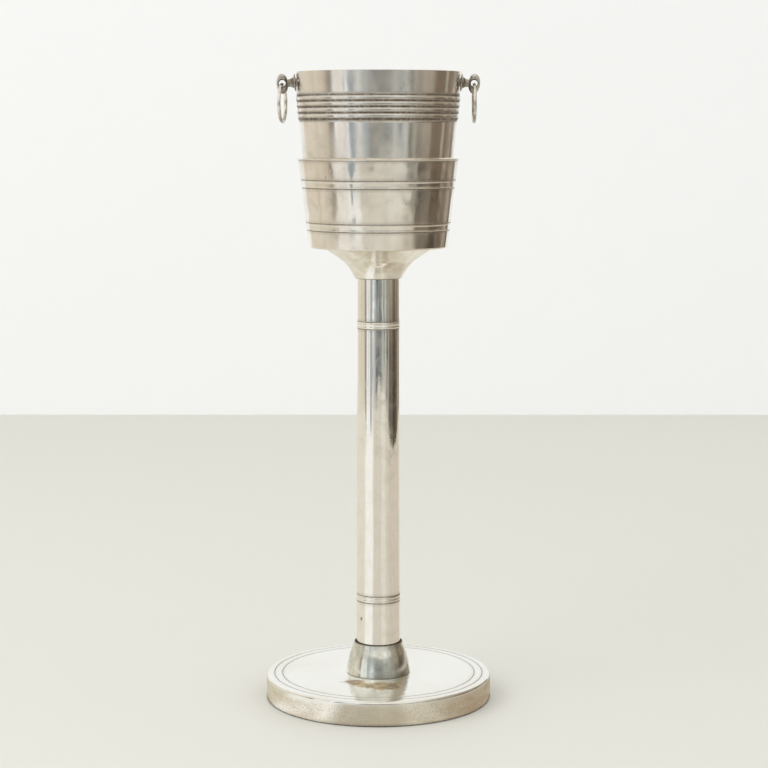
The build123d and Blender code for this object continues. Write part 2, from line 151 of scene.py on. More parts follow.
def turned_mesh(outline, segments, shape=None):
    """Vertices and faces of a closed outline turned round the Z axis; ends on the axis become poles."""
    start_pole = outline[0].x < 1e-7
    end_pole = outline[-1].x < 1e-7
    rows = outline[int(start_pole):len(outline) - int(end_pole)]
    vertices = []
    for column in range(segments):
        angle = 2 * math.pi * column / segments
        for point in rows:
            radius, height = shape(angle, point.x, point.y) if shape else point
            vertices.append((radius * math.cos(angle), radius * math.sin(angle), height))
    depth = len(rows)
    spans = depth - 1 if start_pole or end_pole else depth
    faces = []
    for column in range(segments):
        here, there = column * depth, (column + 1) % segments * depth
        for row in range(spans):
            above = (row + 1) % depth
            faces.append((here + row, there + row, there + above, here + above))
    ends = ((start_pole, outline[0], 0, 1), (end_pole, outline[-1], depth - 1, -1))
    for is_pole, point, row, flip in ends:
        if is_pole:
            pole = len(vertices)
            vertices.append((0, 0, point.y))
            for column in range(segments):
                edge = (column * depth + row, (column + 1) % segments * depth + row)
                faces.append((pole, edge[1], edge[0])[::flip])
    return vertices, faces


def turned_piece(name, corners, shape=None, segments=SEGMENTS):
    """An object turned from (radius, height, cut) corners."""
    return make_object(name, *turned_mesh(softened(corners), segments, shape))


def waves(depth, across, along, seed, wobble=0.0, flat_lift=0.0, flattening=nothing):
    """A shape function: soft upright ripples from spinning and polishing, and shallow dents."""
    def shape(angle, radius, height):
        around = Vector((math.cos(angle), math.sin(angle), 0)) * across
        ripple = noise.noise(around + Vector((seed, 0, height * along)))
        ripple += 0.5 * noise.noise(around * 2.3 + Vector((0, seed, height * along * 1.7)))
        small = noise.noise(around * 2.2 + Vector((seed, seed, height * 70)))
        lift = noise.noise(Vector((math.cos(angle), math.sin(angle), seed)) * radius * 30)
        push = depth * ripple + wobble * small + flattening((angle, height))
        return radius + push, height + flat_lift * lift
    return shape


def mark(piece, name, amount):
    """Stores amount(point) at every vertex, for the piece's material to read."""
    layer = piece.data.attributes.new(name, "FLOAT", "POINT")
    layer.data.foreach_set("value", [amount(vertex.co) for vertex in piece.data.vertices])


def lines_at(heights, width):
    """Amount of tarnish in fine lines at these heights; the reeds also use it for painted shade."""
    return lambda point: max(hump(point.z - height, width) for height in heights)


def spots_at(spots):
    """Amount of stain round (point, reach, strength) spots."""
    def amount(point):
        return sum(
            strength * hump((point - Vector(centre)).length, reach)
            for centre, reach, strength in spots)
    return amount


def finish_piece(piece, body, slot, look, *nodes, dirt_and_shade=nothing, stain=nothing):
    """Gives the piece its material and marks, and sets it on its body in place of the plain nodes."""
    mark(piece, "dirt_and_shade", dirt_and_shade)
    mark(piece, "stain", stain)
    piece.data.materials.append(look.material)
    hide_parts(*nodes)
    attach(piece, body)
    return piece


# ---- materials ---------------------------------------------------------------------
class Look:
    """A node material with short calls for the nodes that are used again and again."""

    def __init__(self, name):
        self.material = bpy.data.materials.new(name)
        self.material.use_nodes = True
        self.nodes = self.material.node_tree.nodes
        self.links = self.material.node_tree.links
        self.shader = self.nodes["Principled BSDF"]
        self.place = self.nodes.new("ShaderNodeTexCoord").outputs["Object"]

    def link(self, source, node, socket):
        self.links.new(source, node.inputs[socket])

    def linked(self, socket):
        """What the shader's socket reads so far."""
        return self.shader.inputs[socket].links[0].from_socket

    def stretched(self, scale):
        """Object coordinates, stretched along each axis."""
        mapping = self.nodes.new("ShaderNodeMapping")
        mapping.inputs["Scale"].default_value = scale
        self.link(self.place, mapping, "Vector")
        return mapping.outputs["Vector"]

    def cloud(self, scale, detail=4.0, stretch=(1, 1, 1), roughness=0.55, distortion=0.0):
        texture = self.nodes.new("ShaderNodeTexNoise")
        texture.inputs["Scale"].default_value = scale
        texture.inputs["Detail"].default_value = detail
        texture.inputs["Roughness"].default_value = roughness
        texture.inputs["Distortion"].default_value = distortion
        self.link(self.stretched(stretch), texture, "Vector")
        return texture.outputs["Fac"]

    def ranged(self, value, low, high, to_low=0.0, to_high=1.0):
        """The value taken smoothly from its range low to high to another range."""
        node = self.nodes.new("ShaderNodeMapRange")
        node.interpolation_type = "SMOOTHSTEP"
        sockets = ("From Min", "From Max", "To Min", "To Max")
        for socket, number in zip(sockets, (low, high, to_low, to_high)):
            node.inputs[socket].default_value = number
        self.link(value, node, "Value")
        return node.outputs["Result"]

    def math(self, operation, first, second):
        node = self.nodes.new("ShaderNodeMath")
        node.operation = operation
        self.link(first, node, 0)
        if isinstance(second, (int, float)):
            node.inputs[1].default_value = second
        else:
            self.link(second, node, 1)
        return node.outputs["Value"]

    def mixed(self, factor, first, second):
        """First colour where the factor is 0, second where it is 1."""
        node = self.nodes.new("ShaderNodeMix")
        node.data_type = "RGBA"
        self.link(factor, node, "Factor")
        for socket, colour in ((6, first), (7, second)):
            if isinstance(colour, tuple):
                node.inputs[socket].default_value = (*colour, 1)
            else:
                self.links.new(colour, node.inputs[socket])
        return node.outputs[2]

    def stored(self, name):
        """An amount stored at the vertices by mark()."""
        node = self.nodes.new("ShaderNodeAttribute")
        node.attribute_name = name
        return node.outputs["Fac"]

    def bump(self, height, distance, strength=1.0, after=None):
        node = self.nodes.new("ShaderNodeBump")
        node.inputs["Strength"].default_value = strength
        node.inputs["Distance"].default_value = distance
        self.link(height, node, "Height")
        if after is not None:
            self.link(after, node, "Normal")
        return node.outputs["Normal"]


# Colour of tarnish, also used for painted shade.
TARNISH_AND_SHADE = (0.115, 0.085, 0.055)
BROWN_STAIN = (0.34, 0.23, 0.12)
GOLD_STAIN = (0.66, 0.50, 0.25)


def silver_look(name, bright, dull, gloss, haze, blotch=9.0, streaks=1.0, smoke=0.3):
    """Old silver plate: bright metal with dull blotches, upright wiping streaks, hairlines, and tarnish that also
    carries painted shade.
    """
    look = Look(name)
    look.shader.inputs["Metallic"].default_value = 1.0
    blotches = look.cloud(blotch, detail=7, distortion=0.6)
    fine = look.cloud(260, detail=3)
    # The stored amount darkens the plate to the tarnish colour: real tarnish in lines and hollows, and painted
    # shade on the reeds, the handle posts and the bottom edge of the base.
    tarnish_and_shade = look.math("MULTIPLY", look.stored("dirt_and_shade"), look.ranged(fine, 0.25, 0.6, 0.72, 1.0))
    uneven = look.ranged(look.cloud(70, detail=6), 0.2, 0.8, -0.45, 0.45)
    stained = look.ranged(look.math("ADD", look.stored("stain"), uneven), 0.35, 0.95, 0.0, 0.85)
    plate = silver_colour(look, blotches, bright, dull, smoke)
    colour = look.mixed(tarnish_and_shade, look.mixed(stained, plate, stain_colour(look)), TARNISH_AND_SHADE)
    look.link(colour, look.shader, "Base Color")
    smears = look.ranged(look.cloud(34, detail=5, stretch=(1, 1, 0.16)), 0.45, 0.72, 0.0, 0.10 * streaks)
    rough = look.math("ADD", look.ranged(blotches, 0.38, 0.70, gloss, haze), smears)
    rough = look.math("ADD", rough, look.math("MULTIPLY", look.math("ADD", tarnish_and_shade, stained), 0.35))
    look.link(rough, look.shader, "Roughness")
    look.link(silver_surface(look, fine, streaks), look.shader, "Normal")
    return look


def silver_colour(look, blotches, bright, dull, smoke):
    """Bright and dull plate under a thin smoky veil, with a few dark specks."""
    colour = look.mixed(look.ranged(blotches, 0.40, 0.66), bright, dull)
    veil = look.ranged(look.cloud(33, detail=6, distortion=0.5), 0.48, 0.72, 0.0, smoke)
    colour = look.mixed(veil, colour, tuple(0.62 * part for part in dull))
    specks = look.ranged(look.cloud(800, detail=2), 0.62, 0.76, 0.0, 0.30)
    return look.mixed(specks, colour, TARNISH_AND_SHADE)


def stain_colour(look):
    """Brown stain with golden flecks."""
    return look.mixed(look.ranged(look.cloud(110, detail=6), 0.44, 0.58), BROWN_STAIN, GOLD_STAIN)


def silver_surface(look, fine, streaks):
    """Level hairlines from turning, faint upright streaks from wiping, and a fine grain."""
    hairlines = look.cloud(24, detail=4, stretch=(1, 1, 22))
    wiping = look.cloud(46, detail=2, stretch=(1, 1, 0.3))
    normal = look.bump(hairlines, 0.01 * MM, 0.6)
    normal = look.bump(wiping, 0.05 * MM, 0.8 * streaks, after=normal)
    return look.bump(fine, 0.008 * MM, 0.5, after=normal)


def bucket_look():
    return silver_look("silver_plate_bucket", (0.95, 0.92, 0.88), (0.84, 0.80, 0.74), 0.08, 0.24)


def holder_look():
    return silver_look("silver_plate_holder", (0.94, 0.91, 0.86), (0.82, 0.76, 0.68), 0.06, 0.17)


def column_look():
    """The brightest plate, often wiped."""
    return silver_look(
        "silver_plate_column", (0.95, 0.92, 0.87), (0.91, 0.88, 0.82), 0.02, 0.15,
        blotch=42, streaks=0.5, smoke=0.10)


def flare_look():
    """Yellowed plate under the cup, where a cloth seldom reaches."""
    return silver_look(
        "worn_silver_plate_flare", (0.96, 0.93, 0.87), (0.78, 0.71, 0.60), 0.09, 0.24, blotch=26)


def collar_look():
    """Dull grey-green plate of the bell."""
    return silver_look(
        "worn_silver_plate_collar", (0.90, 0.91, 0.86), (0.66, 0.67, 0.60), 0.15, 0.28,
        blotch=30, streaks=0.3)


def cast_look():
    """Plate on castings, with small smoky blotches."""
    return silver_look(
        "cast_silver_plate", (0.93, 0.90, 0.85), (0.66, 0.60, 0.52), 0.07, 0.20, blotch=80, smoke=0.45)


def dull_metal_look(name, bright, dull, rough_low, rough_high, grain=300.0):
    """Plain machined or plated metal with fine turning marks and a little grime."""
    look = Look(name)
    look.shader.inputs["Metallic"].default_value = 1.0
    grime = look.cloud(70, detail=6)
    look.link(look.mixed(look.ranged(grime, 0.38, 0.7), bright, dull), look.shader, "Base Color")
    look.link(look.ranged(grime, 0.3, 0.7, rough_low, rough_high), look.shader, "Roughness")
    marks = look.bump(look.cloud(grain, detail=3, stretch=(1, 1, 8)), 0.02 * MM, 0.7)
    look.link(marks, look.shader, "Normal")
    return look


def zinc_look():
    return dull_metal_look("zinc_steel", (0.62, 0.62, 0.60), (0.42, 0.42, 0.41), 0.28, 0.5)


def brass_look():
    return dull_metal_look("turned_brass", (0.74, 0.56, 0.28), (0.48, 0.34, 0.16), 0.22, 0.42)


def fastener_look():
    return dull_metal_look("plated_fastener", (0.72, 0.69, 0.63), (0.5, 0.45, 0.36), 0.2, 0.4)


def cast_iron_look():
    """Rough sand-cast weight under worn black paint."""
    look = Look("cast_iron")
    worn = look.ranged(look.cloud(55, detail=8), 0.56, 0.68)
    look.link(look.mixed(worn, (0.022, 0.022, 0.024), (0.11, 0.075, 0.055)), look.shader, "Base Color")
    look.link(look.ranged(worn, 0, 1, 0.55, 0.9), look.shader, "Roughness")
    sand = look.bump(look.cloud(900, detail=3), 0.15 * MM, 0.8)
    look.link(look.bump(look.cloud(120, detail=4), 0.4 * MM, 0.5, after=sand), look.shader, "Normal")
    return look


def felt_look():
    """Matted dark green wool felt with stray fibres."""
    look = Look("felt")
    look.shader.inputs["Sheen Weight"].default_value = 0.35
    look.shader.inputs["Sheen Roughness"].default_value = 0.5
    look.shader.inputs["Roughness"].default_value = 0.95
    tufts = look.cloud(700, detail=6, roughness=0.7)
    look.link(look.mixed(look.ranged(tufts, 0.35, 0.7), (0.018, 0.035, 0.018), (0.055, 0.085, 0.05)),
              look.shader, "Base Color")
    fibres = look.bump(look.cloud(2200, detail=2, distortion=3), 0.25 * MM, 0.9)
    look.link(look.bump(tufts, 0.3 * MM, 0.7, after=fibres), look.shader, "Normal")
    return look


# ---- base and collar ---------------------------------------------------------------
BASE_SHEET = 1.5 * MM
BASE_SHOULDER = 7 * MM
BASE_BORE = 5.3 * MM
BASE_LINES = (116.7 * MM, 126.4 * MM)             # radii of the two engraved lines
BASE_STAINS = (                                   # mm right, mm before the collar, reach in mm, strength
    (-4, 32, 19, 1.2), (-28, 12, 14, 1.1), (16, 26, 14, 1.1))
BASE_FRONT_HIGHLIGHT = 0.42                              # radians round the front where the side gets a painted highlight
LINE_HALF_WIDTH = 0.5 * MM
LINE_DEPTH = 0.4 * MM


def base_cover():
    """Spun cover of the base: flat top with two engraved lines, round shoulder, upright side."""
    low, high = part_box("base_shell")
    radius, top, edge = high.x, high.z, low.z
    corners = [(BASE_BORE, top, 0.1 * MM)]
    for line in BASE_LINES:
        corners += [
            (line - LINE_HALF_WIDTH, top, 0.15 * MM), (line, top - LINE_DEPTH, 0.1 * MM),
            (line + LINE_HALF_WIDTH, top, 0.15 * MM)]
    corners += [
        (radius, top, BASE_SHOULDER), (radius, edge, 0.3 * MM), (radius - BASE_SHEET, edge, 0.3 * MM),
        (radius - BASE_SHEET, top - BASE_SHEET, BASE_SHOULDER - BASE_SHEET),
        (BASE_BORE, top - BASE_SHEET, 0.1 * MM)]
    ripple = waves(0.05 * MM, 5, 8, seed=3.1, flat_lift=0.10 * MM)
    cover = turned_piece("base_cover", corners[::-1], ripple)

    def dirt_and_shade(point):
        out = math.hypot(point.x, point.y)
        lines = max(hump(out - line, 0.55 * MM) for line in BASE_LINES)
        # Painted shadow along the bottom edge of the side, where it stands just above the floor; the engraved
        # lines hold real tarnish.
        foot = hump(point.z - edge, 1.0 * MM)
        return max(lines * (point.z > top - 1 * MM), 0.8 * foot)

    collar_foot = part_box("collar_bell")[1].x
    patches = spots_at([
        ((right * MM, -collar_foot - before * MM, top), reach * MM, strength)
        for right, before, reach, strength in BASE_STAINS])
    worn_below = top - 0.75 * BASE_SHOULDER

    def side(point):
        worn = min(1, max(0, (worn_below - point.z) / (4 * MM)))
        # Painted highlight: the worn tan side is made brighter round the front.
        front_highlight = hump(math.atan2(point.x, -point.y), BASE_FRONT_HIGHLIGHT)
        return worn * (1 - 0.6 * front_highlight)

    mark(cover, "side", side)
    return cover, dirt_and_shade, patches


def base_look():
    """Silver plate that is bright on top and worn, tan and speckled on the side, with a painted highlight at the
    front of the side.
    """
    look = silver_look(
        "worn_silver_plate_base", (0.95, 0.945, 0.92), (0.90, 0.88, 0.83), 0.07, 0.15,
        blotch=7, streaks=0.3, smoke=0.0)
    side = look.stored("side")
    grains = look.cloud(700, detail=3, roughness=0.7)
    clouds = look.cloud(26, detail=8, stretch=(1, 1, 3))
    tan = look.mixed(look.ranged(clouds, 0.38, 0.64), (0.96, 0.92, 0.86), (0.80, 0.71, 0.60))
    tan = look.mixed(look.ranged(grains, 0.48, 0.70, 0.0, 0.8), tan, (0.46, 0.36, 0.25))
    look.link(look.mixed(side, look.linked("Base Color"), tan), look.shader, "Base Color")
    worn = look.math("MULTIPLY", side, look.ranged(grains, 0.3, 0.7, 0.03, 0.13))
    look.link(look.math("ADD", look.linked("Roughness"), worn), look.shader, "Roughness")
    return look


COLLAR_KNOTS = ((0, 0), (-1.9, 12.0), (-4.9, 24.0), (-8.0, 32.5), (-9.9, 38.5))   # mm from the foot's edge


def collar():
    """Bell over the joint of base and column."""
    low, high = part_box("collar_bell")
    outside = [(high.x + inward * MM, low.z + rise * MM) for inward, rise in COLLAR_KNOTS]
    curve = smooth_curve(outside)
    corners = [(point.x, point.y, 0.25 * MM if index in (0, len(curve) - 1) else 0)
               for index, point in enumerate(curve)]
    inside = [(point.x - BASE_SHEET, point.y, 0) for point in reversed(curve)]
    piece = turned_piece("collar", corners + inside, waves(0.10 * MM, 3, 25, seed=8.4, wobble=0.03 * MM))

    def dirt_and_shade(point):
        return max(hump(point.z - high.z, 0.9 * MM), 0.7 * hump(point.z - low.z, 0.8 * MM))

    return piece, dirt_and_shade


# ---- column ------------------------------------------------------------------------
TUBE_RADIUS = 26.6 * MM                           # at the foot
TUBE_SHEET = 1.5 * MM
TUBE_NARROWING = 1.3 * MM
BEAD_BANDS = ((119.0, 128.2), (450.2, 459.8))     # mm above the floor
BEAD_LINE = 1.0 * MM
BEAD_PROUD = 0.6 * MM
COLUMN_PIT = ((-0.0205, -0.0165, 0.099), 0.0018, 1.4)


def column():
    """Drawn tube, a little narrower upwards, with a pair of beads near each end."""
    low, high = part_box("column_tube")

    def radius_at(height):
        return TUBE_RADIUS - TUBE_NARROWING * (height - low.z) / (high.z - low.z)

    corners = [(radius_at(low.z), low.z, 0.2 * MM)]
    dirty = []
    for start, end in BEAD_BANDS:
        start, end = start * MM, end * MM
        middle = (start + end) / 2
        inner = (start + BEAD_LINE, end - BEAD_LINE)
        corners += [
            (radius_at(start), start, 0.1 * MM), (radius_at(start) - LINE_DEPTH, start + BEAD_LINE / 2, 0)]
        corners += arc_points(radius_at, inner[0], middle, BEAD_PROUD)
        corners += arc_points(radius_at, middle, inner[1], BEAD_PROUD)[1:]
        corners += [
            (radius_at(end) - LINE_DEPTH, end - BEAD_LINE / 2, 0), (radius_at(end), end, 0.1 * MM)]
        dirty += [start + BEAD_LINE / 2, end - BEAD_LINE / 2]
    corners += [
        (radius_at(high.z), high.z, 0.2 * MM), (radius_at(high.z) - TUBE_SHEET, high.z, 0.2 * MM),
        (radius_at(low.z) - TUBE_SHEET, low.z, 0.2 * MM)]
    tube = turned_piece("column", corners, waves(0.035 * MM, 2.6, 5, seed=1.7, wobble=0.010 * MM))
    return tube, lines_at(dirty, 0.6 * MM), spots_at([COLUMN_PIT])


# ---- cup support -------------------------------------------------------------------
FUNNEL_NECK = 26.2 * MM
FUNNEL_RISE = 2.5 * MM
FUNNEL_KNOTS = (                                  # mm out from the neck and up from its foot
    (0, 0), (2.1, 0.8), (3.0, 2.6), (7.1, 9.8), (14.7, 19.4), (24.8, 26.7), (39.8, 37.0))


def cup_support():
    """Flared funnel between the column and the holder cup."""
    low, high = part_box("cup_funnel")
    knots = [(FUNNEL_NECK + out * MM, low.z + rise * MM) for out, rise in FUNNEL_KNOTS]
    curve = smooth_curve(knots, count=12)
    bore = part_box("tube_top_plug")[1].x
    outside = [(point.x, point.y, 0) for point in curve]
    inside = [(point.x - 0.2 * MM, point.y + FUNNEL_RISE, 0) for point in reversed(curve[4:-6])]
    corners = outside + [(knots[-1][0] - 3 * MM, high.z, 0)] + inside
    corners += [(bore, low.z + FUNNEL_RISE + 1.5 * MM, 0.2 * MM), (bore, low.z, 0.2 * MM)]
    flare = turned_piece("cup_support", corners, waves(0.09 * MM, 3.4, 16, seed=5.2, wobble=0.02 * MM))

    def dirt_and_shade(point):
        return max(hump(point.z - low.z, 0.9 * MM), 0.7 * hump(point.z - knots[-1][1], 0.7 * MM))

    return flare, dirt_and_shade


# ---- holder cup --------------------------------------------------------------------
HOLDER_SLOPE = 0.1184
HOLDER_SHEET = 1.5 * MM
HOLDER_CORNER = 2 * MM
HOLDER_LIP = 1.8 * MM
HOLDER_LIP_HEIGHT = 2.2 * MM
HOLDER_BORE = 26 * MM
HOLDER_BANDS = ((567.4, 577.4), (617.2, 627.4))   # mm above the floor
FLATTENED_SIDE = math.radians(-48)                # the cup stands a little straighter on this side
FLATTENED_LEAN = 0.016
BAND_LINE = 1.0 * MM
BAND_PROUD = 0.3 * MM
BAND_ROLL = 0.22                                  # share of the half band that each rolled edge takes
HOLDER_MARKS = (                                  # place, reach and strength
    ((-0.062, -0.072, 0.643), 0.003, 0.75), ((-0.056, -0.076, 0.637), 0.002, 0.8),
    ((-0.060, -0.070, 0.630), 0.002, 0.85), ((-0.021, -0.082, 0.5555), 0.0018, 1.0),
    ((-0.014, -0.084, 0.5565), 0.0018, 1.0))


def line_band(radius_at, start, end):
    """Two fine lines with a shallow hollow between them, and its edges rolled up beside the lines."""
    corners = [
        (radius_at(start), start, 0.1 * MM), (radius_at(start) - LINE_DEPTH, start + BAND_LINE / 2, 0)]
    inner_low, inner_high = start + BAND_LINE, end - BAND_LINE
    count = 16
    for index in range(count + 1):
        across = 2 * index / count - 1
        height = inner_low + (inner_high - inner_low) * index / count
        edge = (1 - abs(across)) / BAND_ROLL
        rolled = max(0, 1 - (edge - 1) ** 2) if edge < 2 else 0
        corners.append((radius_at(height) + BAND_PROUD * rolled, height, 0))
    return corners + [(radius_at(end) - LINE_DEPTH, end - BAND_LINE / 2, 0), (radius_at(end), end, 0.1 * MM)]


def holder():
    """Tapered cup with two bands of lines and a small rolled lip."""
    low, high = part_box("holder_cup")
    rim = high.x - HOLDER_LIP

    def radius_at(height):
        return rim - HOLDER_SLOPE * (high.z - height)

    floor = low.z + HOLDER_SHEET
    lip_foot = high.z - HOLDER_LIP_HEIGHT
    corners = [(HOLDER_BORE, low.z, 0.3 * MM), (radius_at(low.z), low.z, HOLDER_CORNER)]
    dirty = []
    for start, end in HOLDER_BANDS:
        corners += line_band(radius_at, start * MM, end * MM)
        dirty += [start * MM + BAND_LINE / 2, end * MM - BAND_LINE / 2]
    corners += [
        (radius_at(lip_foot), lip_foot, 0.5 * MM), (high.x, high.z - 1.3 * MM, 0.6 * MM),
        (high.x, high.z, 0.6 * MM), (high.x - 1.5 * MM, high.z, 0.3 * MM),
        (radius_at(lip_foot) - HOLDER_SHEET, lip_foot, 1 * MM),
        (radius_at(floor) - HOLDER_SHEET, floor, 1.0 * MM), (HOLDER_BORE, floor, 0.3 * MM)]
    middle = (low.z + high.z) / 2

    def flattening(place):
        angle, height = place
        facing = max(0, math.cos(angle - FLATTENED_SIDE)) ** 6
        return -FLATTENED_LEAN * (height - middle) * facing

    ripple = waves(0.22 * MM, 4.2, 9, seed=2.6, wobble=0.20 * MM, flattening=flattening)
    cup = turned_piece("holder", corners, ripple)
    dirt_and_shade = lines_at(dirty, 0.62 * MM)
    rim_dirt = lines_at([lip_foot - 0.1 * MM], 0.5 * MM)
    return cup, lambda point: max(dirt_and_shade(point), 0.7 * rim_dirt(point)), spots_at(HOLDER_MARKS)


# ---- bucket ------------------------------------------------------------------------
BUCKET_SLOPE = 0.096
BUCKET_SHEET = 1.2 * MM
BUCKET_CORNER = 8 * MM
BUCKET_DISH = 2.5 * MM
FOOT_RING = 8 * MM
DISH_SLOPE = 6 * MM
REED_LOW = 697.2 * MM
REED_PITCH = 6.9 * MM
REED_COUNT = 4
REED_PROUD = 1.2 * MM
REED_SHADE = 1.8 * MM                             # painted shade and dark reflection on the lower half of every reed
REED_SHADE_RISE = 0.8 * MM
BUCKET_SCRATCHES = (                              # place, reach and strength
    ((0.012, -0.096, 0.667), 0.010, 0.35), ((0.030, -0.094, 0.738), 0.006, 0.5),
    ((-0.012, -0.095, 0.662), 0.006, 0.5))


def bucket_radius(height):
    """Outer radius of the plain tapered wall."""
    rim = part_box("bucket_shell")[1]
    return rim.x + BUCKET_SLOPE * (height - rim.z + BUCKET_SHEET / 2)


def bucket_bottom(inset):
    """From the axis outwards: dished middle, flat foot ring and rounded corner."""
    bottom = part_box("bucket_shell")[0].z + inset
    wall = bucket_radius(bottom) - inset
    flat = wall - BUCKET_CORNER
    middle = flat - FOOT_RING - DISH_SLOPE
    return [
        (0, bottom + BUCKET_DISH, 0), (middle, bottom + BUCKET_DISH, 3 * MM),
        (flat - FOOT_RING, bottom, 3 * MM), (wall, bottom, BUCKET_CORNER - inset)]


def bucket():
    """Tapered pail with a band of reeds below its rim and a dished bottom."""
    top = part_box("bucket_shell")[1].z
    corners = bucket_bottom(0)
    valleys = [REED_LOW + index * REED_PITCH for index in range(REED_COUNT + 1)]
    for start, end in zip(valleys, valleys[1:]):
        corners += arc_points(bucket_radius, start, end, REED_PROUD, fullness=0.62)[:-1]
    corners += [(bucket_radius(valleys[-1]), valleys[-1], 0)]
    corners += [
        (bucket_radius(top), top, 0.55 * MM), (bucket_radius(top) - BUCKET_SHEET, top, 0.55 * MM)]
    corners += bucket_bottom(BUCKET_SHEET)[::-1]
    shell = turned_piece("bucket", corners, waves(0.17 * MM, 4.6, 4.5, seed=0.4, wobble=0.06 * MM))
    # Painted shade and dark reflection on the lower half of every reed, and tarnish in the valleys between the
    # reeds.
    grime = lines_at([valley + REED_SHADE_RISE for valley in valleys], REED_SHADE)
    groove = lines_at(valleys, 0.7 * MM)
    return shell, lambda point: max(0.95 * grime(point), groove(point)), spots_at(BUCKET_SCRATCHES)


# ---- handle posts and rosettes -----------------------------------------------------
STUD_RADIUS = 2.5 * MM
STUD_LENGTH = 7.6 * MM
ROSETTE_THICKNESS = 1.8 * MM
POST_FLANGE = 6.5 * MM
POST_WAIST = ((6.5, 2.6), (5.7, 3.5), (4.7, 6.0), (4.5, 8.6), (3.6, 10.6))   # mm: radius, from the wall
EYE_CENTRE = 15.4 * MM
EYE_HALF_WIDTH = 6.9 * MM
EYE_HALF_HEIGHT = 11.85 * MM
EYE_HALF_THICKNESS = 4.8 * MM
EYE_HOLE = 4 * MM
EYE_HOLE_RISE = 0.4 * MM
EYE_SQUARENESS = 0.72


def lug_matrix(side, name):
    """Frame on the bucket wall under a rosette: local Z out of the wall, local Y up along it."""
    low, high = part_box(name + "_rosette")
    out = Vector((side, 0, -BUCKET_SLOPE)).normalized()
    up = Vector((side * BUCKET_SLOPE, 0, 1)).normalized()
    across = up.cross(out)
    turn = Matrix((across, up, out)).transposed().to_4x4()
    seat = (low + high) / 2 - out * ROSETTE_THICKNESS / 2
    return Matrix.Translation(seat) @ turn


def rosette(side, name):
    """Thin stepped plate with a rounded rim."""
    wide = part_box(name + "_rosette")[1].y
    thick = ROSETTE_THICKNESS
    corners = [
        (STUD_RADIUS, 0, 0.1 * MM), (wide, 0, 0.15 * MM), (wide, 0.5 * thick, 0.3 * MM),
        (wide - 1.0 * MM, 0.75 * thick, 0.3 * MM), (wide - 2.0 * MM, 0.7 * thick, 0.15 * MM),
        (wide - 2.6 * MM, thick, 0.3 * MM), (STUD_RADIUS, thick, 0.1 * MM)]
    plate = turned_piece(name + "_rosette_plate", corners, segments=SMALL_SEGMENTS)
    plate.data.transform(lug_matrix(side, name))
    return plate


def eye_mesh():
    """An egg-shaped loop round the ring's hole, in the plane of local Y and Z."""
    around, section = 72, 28
    vertices = []
    for column in range(around):
        angle = 2 * math.pi * column / around
        direction = Vector((math.cos(angle), math.sin(angle)))
        start = Vector((EYE_HOLE_RISE, 0))
        inner, outer = EYE_HOLE, ellipse_reach(start, direction)
        for row in range(section):
            turn = 2 * math.pi * row / section
            across = power(math.cos(turn), EYE_SQUARENESS)
            thick = power(math.sin(turn), EYE_SQUARENESS)
            spot = start + direction * ((inner + outer) / 2 + (outer - inner) / 2 * across)
            vertices.append((EYE_HALF_THICKNESS * thick, spot.x, EYE_CENTRE + spot.y))
    faces = []
    for column in range(around):
        here, there = column * section, (column + 1) % around * section
        for row in range(section):
            after = (row + 1) % section
            faces.append((here + row, there + row, there + after, here + after))
    return vertices, faces


def ellipse_reach(start, direction):
    """Distance from start to the eye's oval outline in this direction; x runs up and y outwards."""
    scale = Vector((1 / EYE_HALF_HEIGHT, 1 / EYE_HALF_WIDTH))
    a, b = start * scale, direction * scale
    mid = a.dot(b) / b.dot(b)
    return -mid + math.sqrt(mid * mid + (1 - a.dot(a)) / b.dot(b))


def power(value, exponent):
    """The value's size to this power, with its sign kept."""
    return math.copysign(abs(value) ** exponent, value)


def eye_post(side, name):
    """Stud, flange and waisted neck, turned in one, with the pierced eye at the end."""
    waist = smooth_curve([(radius * MM, out * MM) for radius, out in POST_WAIST], count=6)
    corners = [
        (0, -STUD_LENGTH, 0), (STUD_RADIUS, -STUD_LENGTH, 0.4 * MM),
        (STUD_RADIUS, ROSETTE_THICKNESS, 0.1 * MM), (POST_FLANGE, ROSETTE_THICKNESS, 0.3 * MM)]
    corners += [(point.x, point.y, 0) for point in waist] + [(0, waist[-1].y, 0)]
    vertices, faces = turned_mesh(softened(corners), SMALL_SEGMENTS)
    eye_vertices, eye_faces = eye_mesh()
    shift = len(vertices)
    faces += [tuple(index + shift for index in face) for face in eye_faces]
    post = make_object(name + "_eye", vertices + eye_vertices, faces)
    post.data.transform(lug_matrix(side, name))
    return post


def lug_tarnish_and_shade(side, name):
    """Darkening where the neck meets the eye and the flange, round the eye's hole and along the neck, partly
    tarnish and partly painted shade, with painted shadow underneath and a thin tarnish all over.
    """
    to_local = lug_matrix(side, name).inverted()

    def amount(point):
        spot = to_local @ point
        # Painted shade in the recesses and along the neck, painted shadow on the lower side; the last number is a
        # thin real tarnish all over.
        joint = hump(spot.z - POST_WAIST[-1][1] * MM, 2.3 * MM)
        from_hole = math.hypot(spot.y - EYE_HOLE_RISE, spot.z - EYE_CENTRE)
        hole = hump(from_hole - EYE_HOLE, 1.5 * MM) * (abs(spot.x) < 4.4 * MM)
        foot = hump(spot.z - POST_WAIST[1][1] * MM, 0.9 * MM)
        under = smooth(-spot.y, 2 * MM, EYE_HALF_HEIGHT)
        neck = 0.65 * (ROSETTE_THICKNESS < spot.z < EYE_CENTRE - EYE_HALF_WIDTH)
        return max(joint, hole, foot, neck, 0.7 * under, 0.22)
    return amount


# ---- ring handles ------------------------------------------------------------------
RING_WIRE = 2.1 * MM


